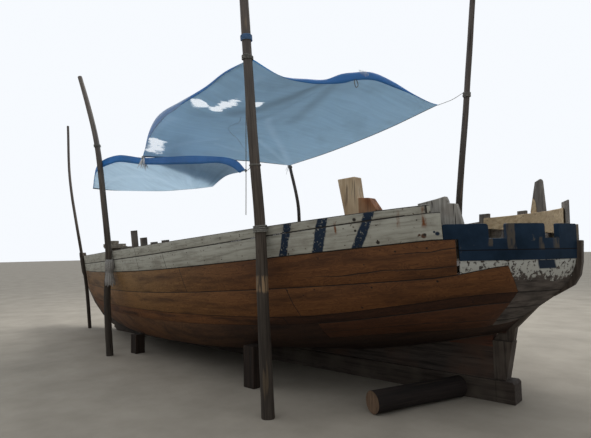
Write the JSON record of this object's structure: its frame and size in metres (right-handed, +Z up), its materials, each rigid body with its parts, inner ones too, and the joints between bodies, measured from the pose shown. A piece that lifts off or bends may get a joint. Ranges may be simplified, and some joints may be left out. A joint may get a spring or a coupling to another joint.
{
  "type": "wooden dhow sailing boat under repair",
  "caption": "Planked wooden dhow hauled out on its keel for repair, with bare hold, decks, shores, props and two tied tarpaulins",
  "frame": {"origin": "on the sole of the keel, on the centreline, 3.6 m forward of the heel", "axes": "+X runs forward along the keel to the bow, +Y to port, +Z up; the keel's sole is the ground, z = 0"},
  "size_m": [9.553, 3.5151, 4.75],
  "materials": {
    "white_paint": "flat weathered white paint on planks",
    "navy_paint": "flat worn navy paint on planks",
    "fresh_wood": "new sawn planks, oiled",
    "old_wood": "old dark planks with worn paint",
    "dark_wood": "damp dark planks",
    "grey_wood": "weathered grey timber",
    "pole_bark": "peeled poles",
    "new_wood": "fresh sawn plank",
    "tarp_blue": "woven plastic sheet, blue",
    "tarp_pale": "woven plastic sheet, pale side"
  },
  "bodies": {
    "root": {"aft_deck": "grey_wood", "awning_bow": "tarp_pale", "awning_main": "tarp_blue", "bow_boards": "grey_wood", "bow_pole": "pole_bark", "chock_log": "grey_wood", "counter_post": "old_wood", "deadwood": "grey_wood", "end_boards": "grey_wood", "foredeck": "grey_wood", "fresh_post": "fresh_wood", "heel_block": "dark_wood", "hold_beam_1": "grey_wood", "hold_beam_2": "grey_wood", "hold_beam_3": "grey_wood", "keel": "grey_wood", "keelson_and_floors": "grey_wood", "mast_step": "grey_wood", "near_pole": "pole_bark", "port_aft_frames": "grey_wood", "port_aft_prop": "grey_wood", "port_bilge_planking": "dark_wood", "port_bottom_planking": "dark_wood", "port_cant_frames": "grey_wood", "port_dark_strake": "old_wood", "port_fore_frames": "grey_wood", "port_fore_pole": "pole_bark", "port_fore_prop": "grey_wood", "port_fresh_lower_planks": "fresh_wood", "port_lower_brown_strake": "fresh_wood", "port_lower_white_strake": "white_paint", "port_middle_frames": "grey_wood", "port_navy_bulwark": "navy_paint", "port_quarter_planking": "old_wood", "port_quarter_strip": "old_wood", "port_upper_brown_strake": "fresh_wood", "port_upper_white_strake": "white_paint", "starboard_aft_frames": "grey_wood", "starboard_aft_pole": "pole_bark", "starboard_aft_prop": "grey_wood", "starboard_bilge_planking": "dark_wood", "starboard_bottom_planking": "dark_wood", "starboard_cant_frames": "grey_wood", "starboard_dark_strake": "old_wood", "starboard_fore_frames": "grey_wood", "starboard_fore_prop": "grey_wood", "starboard_fresh_lower_planks": "fresh_wood", "starboard_lower_brown_strake": "fresh_wood", "starboard_lower_white_strake": "white_paint", "starboard_mid_pole": "pole_bark", "starboard_middle_frames": "grey_wood", "starboard_navy_bulwark": "navy_paint", "starboard_new_plank": "new_wood", "starboard_quarter_planking": "old_wood", "starboard_quarter_strip": "old_wood", "starboard_upper_brown_strake": "fresh_wood", "starboard_upper_white_strake": "white_paint", "stem_post": "old_wood", "stern_post": "grey_wood"}
  },
  "joints": []
}
